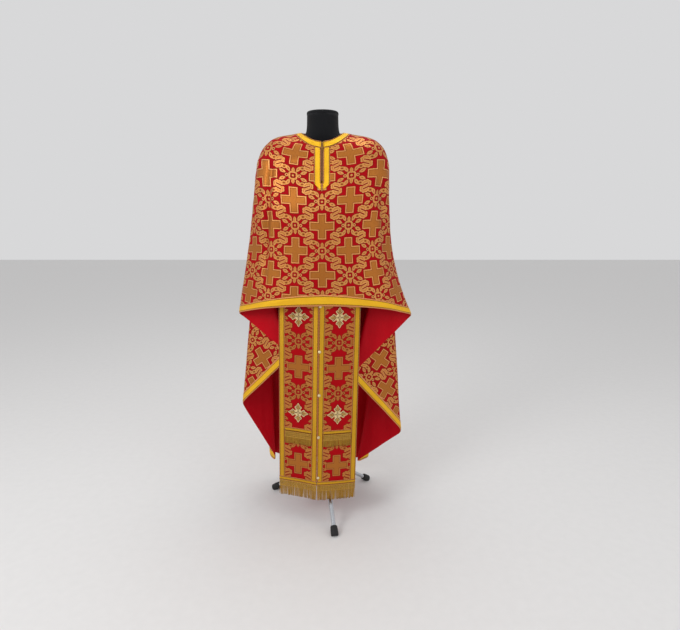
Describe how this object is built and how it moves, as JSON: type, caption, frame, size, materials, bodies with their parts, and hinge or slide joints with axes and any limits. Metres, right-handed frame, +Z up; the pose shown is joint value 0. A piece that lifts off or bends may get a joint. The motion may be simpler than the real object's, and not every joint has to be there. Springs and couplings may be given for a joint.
{
  "type": "chasuble",
  "caption": "Greek-cut chasuble with matching buttoned stole, hung on a headless dress form with a folding tripod stand",
  "frame": {"origin": "on the floor, under the axis of the stand's pole", "axes": "+Z up, -Y towards the garment's front, +X to the viewer's right"},
  "size_m": [0.7075, 0.4798, 1.6],
  "materials": {
    "black_plastic": "satin",
    "chrome": "polished",
    "black_rubber": "matte",
    "plywood": "plain",
    "black_jersey_form": "covered in knitted jersey",
    "red_gold_brocade": "woven metallic brocade",
    "red_satin": "satin",
    "gold_fringe": "twisted thread",
    "gold_embroidery": "raised metal thread embroidery",
    "gold_galloon": "woven metallic braid",
    "zip_tape": "woven",
    "zip_brass": "satin",
    "button_gold": "faceted"
  },
  "bodies": {
    "tripod": {"tripod_hub": "black_plastic", "hub_end_cap": "black_plastic", "outer_pole": "chrome", "pole_bushing": "black_plastic", "height_collar": "black_plastic", "leg_pivot_pins": "chrome"},
    "front_leg": {"leg_front": "chrome", "foot_front": "black_rubber"},
    "right_leg": {"leg_right": "chrome", "foot_right": "black_rubber"},
    "left_leg": {"leg_left": "chrome", "foot_left": "black_rubber"},
    "knob": {"clamp_knob": "black_plastic"},
    "mast": {"mast": "chrome", "mast_stop_ring": "black_plastic"},
    "form": {"pole_socket": "chrome", "socket_screws": "chrome", "base_plate": "plywood", "form_shell": "black_jersey_form", "neck_cap": "black_jersey_form", "cape_left_half": "red_gold_brocade", "cape_right_half": "red_gold_brocade", "cape_lining_left": "red_satin", "cape_lining_right": "red_satin", "hem_galloon_left": "gold_galloon", "hem_galloon_right": "gold_galloon", "collar_galloons": "gold_galloon", "placket_galloon_left": "gold_galloon", "placket_galloon_right": "gold_galloon", "zip_tapes": "zip_tape", "zip_teeth": "zip_brass", "back_cross": "gold_embroidery", "stole_left_panel": "red_gold_brocade", "stole_right_panel": "red_gold_brocade", "stole_left_lining": "red_satin", "stole_right_lining": "red_satin", "stole_neck_left": "red_gold_brocade", "stole_neck_right": "red_gold_brocade", "stole_outer_galloon_left": "gold_galloon", "stole_outer_galloon_right": "gold_galloon", "stole_inner_galloon_left": "gold_galloon", "stole_inner_galloon_right": "gold_galloon", "stole_mid_galloons": "gold_galloon", "stole_mid_fringes": "gold_fringe", "stole_hem_galloons": "gold_galloon", "stole_hem_fringes": "gold_fringe", "stole_crosses": "gold_embroidery", "stole_buttons": "button_gold"},
    "slider": {"zip_slider": "zip_brass"},
    "pull": {"zip_pull": "zip_brass"}
  },
  "joints": [
    {"name": "height_slide", "type": "slide", "parent": "tripod", "child": "mast", "axis": [0, 0, 1], "range_m": [0, 0.2]},
    {"name": "torso_swivel", "type": "hinge", "parent": "mast", "child": "form", "pos_m": [0, 0, 0.8], "axis": [0, 0, 1], "continuous": true},
    {"name": "knob_turn", "type": "hinge", "parent": "tripod", "child": "knob", "pos_m": [0.03, 0, 0.579], "axis": [1, 0, 0], "range_deg": [0, 360]},
    {"name": "front_leg_fold", "type": "hinge", "parent": "tripod", "child": "front_leg", "pos_m": [0.0066, -0.03742, 0.163], "axis": [0.9848, 0.1736, 0], "range_deg": [0, 50]},
    {"name": "right_leg_fold", "type": "hinge", "parent": "tripod", "child": "right_leg", "pos_m": [0.02911, 0.02443, 0.163], "axis": [-0.6428, 0.766, 0], "range_deg": [0, 50]},
    {"name": "left_leg_fold", "type": "hinge", "parent": "tripod", "child": "left_leg", "pos_m": [-0.03571, 0.013, 0.163], "axis": [-0.342, -0.9397, 0], "range_deg": [0, 50]},
    {"name": "zip_slide", "type": "slide", "parent": "form", "child": "slider", "axis": [0, -0.3099, -0.9508], "range_m": [0, 0.13]},
    {"name": "pull_hinge", "type": "hinge", "parent": "slider", "child": "pull", "pos_m": [0, -0.09366, 1.48041], "axis": [-1, 0, 0], "range_deg": [0, 150]}
  ]
}
